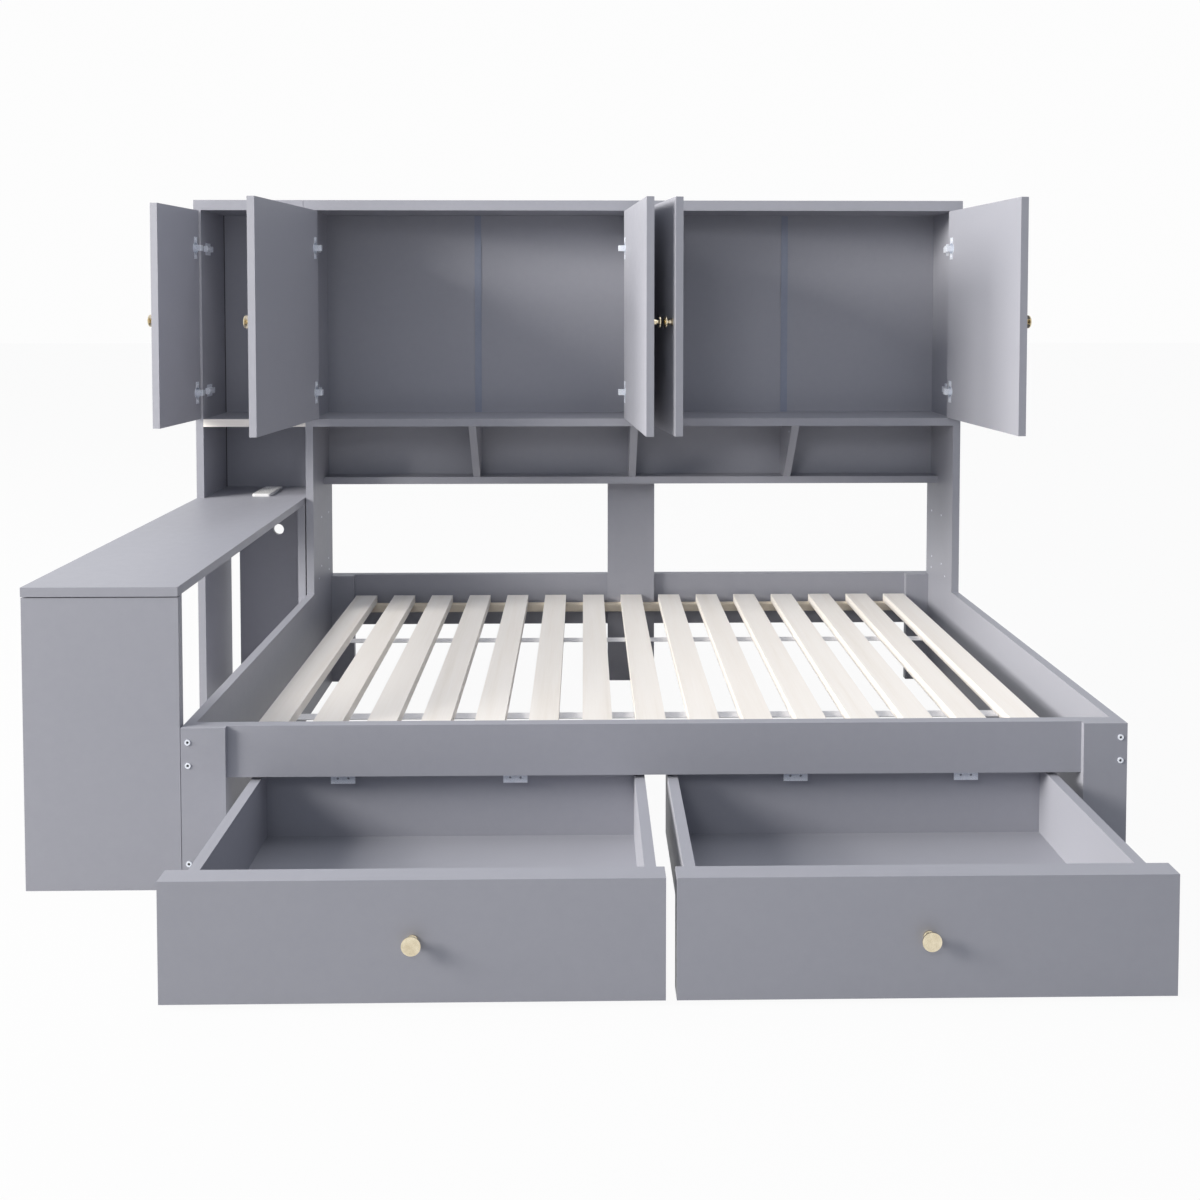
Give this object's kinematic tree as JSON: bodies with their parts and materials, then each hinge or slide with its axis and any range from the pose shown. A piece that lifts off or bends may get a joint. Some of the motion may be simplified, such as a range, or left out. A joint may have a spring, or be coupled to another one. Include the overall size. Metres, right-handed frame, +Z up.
{
  "type": "storage bed",
  "caption": "Storage bed with slatted base, roll-out drawers under the side rail, hinged-door bridge cabinet over open shelves, and a side desk with tower and outlet.",
  "frame": {"origin": "on the floor under the middle of the centre back board", "axes": "+X along the bed's length to the right as seen from the front, the open side faces -Y, +Z up; the pictured pose is joint value 0, with doors and drawers open"},
  "size_m": [2.3819, 1.7459, 1.5297],
  "materials": {
    "paint": "cool grey satin paint on board",
    "slat_wood": "pale bare wood",
    "knob_brass": "champagne satin",
    "hinge_steel": "nickel plated",
    "outlet_plastic": "white",
    "caster_plastic": "black",
    "strap_fabric": "woven light grey"
  },
  "bodies": {
    "frame": {"front_posts": "paint", "front_rail": "paint", "side_panel_left": "paint", "side_panel_right": "paint", "back_posts": "paint", "back_rail": "paint", "centre_back_board": "paint", "slat_ledgers": "slat_wood", "slats": "slat_wood", "slat_straps": "strap_fabric", "frame_bolts": "hinge_steel", "drawer_stops": "hinge_steel", "bridge_side_left": "paint", "bridge_side_right": "paint", "mid_panel": "paint", "top_board": "paint", "floor_board": "paint", "lower_shelf": "paint", "shelf_dividers": "paint", "back_sheets": "paint", "back_strips": "paint", "tower_side_panel": "paint", "tower_top": "paint", "tower_stile": "paint", "tower_shelf": "paint", "desk_top": "paint", "desk_front_panel": "paint", "desk_legs": "paint", "desk_back_board": "paint", "power_outlet": "outlet_plastic", "hinge_arms": "hinge_steel"},
    "door_1": {"door_1": "paint", "door_knob_1": "knob_brass", "hinge_cups_1": "hinge_steel"},
    "door_2": {"door_2": "paint", "door_knob_2": "knob_brass", "hinge_cups_2": "hinge_steel"},
    "door_3": {"door_3": "paint", "door_knob_3": "knob_brass", "hinge_cups_3": "hinge_steel"},
    "door_4": {"door_4": "paint", "door_knob_4": "knob_brass", "hinge_cups_4": "hinge_steel"},
    "door_5": {"door_5": "paint", "door_knob_5": "knob_brass", "hinge_cups_5": "hinge_steel"},
    "drawer_left": {"drawer_left_front": "paint", "drawer_left_walls": "paint", "drawer_left_bottom": "paint", "drawer_left_knob": "knob_brass", "drawer_left_forks": "hinge_steel"},
    "drawer_left_wheels_front": {"drawer_left_wheels_front": "caster_plastic"},
    "drawer_left_wheels_rear": {"drawer_left_wheels_rear": "caster_plastic"},
    "drawer_right": {"drawer_right_front": "paint", "drawer_right_walls": "paint", "drawer_right_bottom": "paint", "drawer_right_knob": "knob_brass", "drawer_right_forks": "hinge_steel"},
    "drawer_right_wheels_front": {"drawer_right_wheels_front": "caster_plastic"},
    "drawer_right_wheels_rear": {"drawer_right_wheels_rear": "caster_plastic"}
  },
  "joints": [
    {"name": "door_1_hinge", "type": "hinge", "parent": "frame", "child": "door_1", "pos_m": [-1.3064, -0.2308, 1.174], "axis": [0, 0, -1], "range_deg": [-95.4, 2]},
    {"name": "door_2_hinge", "type": "hinge", "parent": "frame", "child": "door_2", "pos_m": [-0.9645, -0.2375, 1.174], "axis": [0, 0, -1], "range_deg": [-96, 12]},
    {"name": "door_3_hinge", "type": "hinge", "parent": "frame", "child": "door_3", "pos_m": [-0.012, -0.2375, 1.174], "axis": [0, 0, 1], "range_deg": [-95, 0]},
    {"name": "door_4_hinge", "type": "hinge", "parent": "frame", "child": "door_4", "pos_m": [0.012, -0.2375, 1.174], "axis": [0, 0, -1], "range_deg": [-81, 0]},
    {"name": "door_5_hinge", "type": "hinge", "parent": "frame", "child": "door_5", "pos_m": [0.9645, -0.2375, 1.174], "axis": [0, 0, 1], "range_deg": [-94, 14]},
    {"name": "drawer_left_slide", "type": "slide", "parent": "frame", "child": "drawer_left", "axis": [0, -1, 0], "range_m": [-0.387, 0.02]},
    {"name": "drawer_left_wheels_front_spin", "type": "hinge", "parent": "drawer_left", "child": "drawer_left_wheels_front", "pos_m": [-0.43665, -1.588, 0.025], "axis": [1, 0, 0], "continuous": true},
    {"name": "drawer_left_wheels_rear_spin", "type": "hinge", "parent": "drawer_left", "child": "drawer_left_wheels_rear", "pos_m": [-0.43665, -1.265, 0.025], "axis": [1, 0, 0], "continuous": true},
    {"name": "drawer_right_slide", "type": "slide", "parent": "frame", "child": "drawer_right", "axis": [0, -1, 0], "range_m": [-0.387, 0.02]},
    {"name": "drawer_right_wheels_front_spin", "type": "hinge", "parent": "drawer_right", "child": "drawer_right_wheels_front", "pos_m": [0.43665, -1.588, 0.025], "axis": [1, 0, 0], "continuous": true},
    {"name": "drawer_right_wheels_rear_spin", "type": "hinge", "parent": "drawer_right", "child": "drawer_right_wheels_rear", "pos_m": [0.43665, -1.265, 0.025], "axis": [1, 0, 0], "continuous": true}
  ]
}
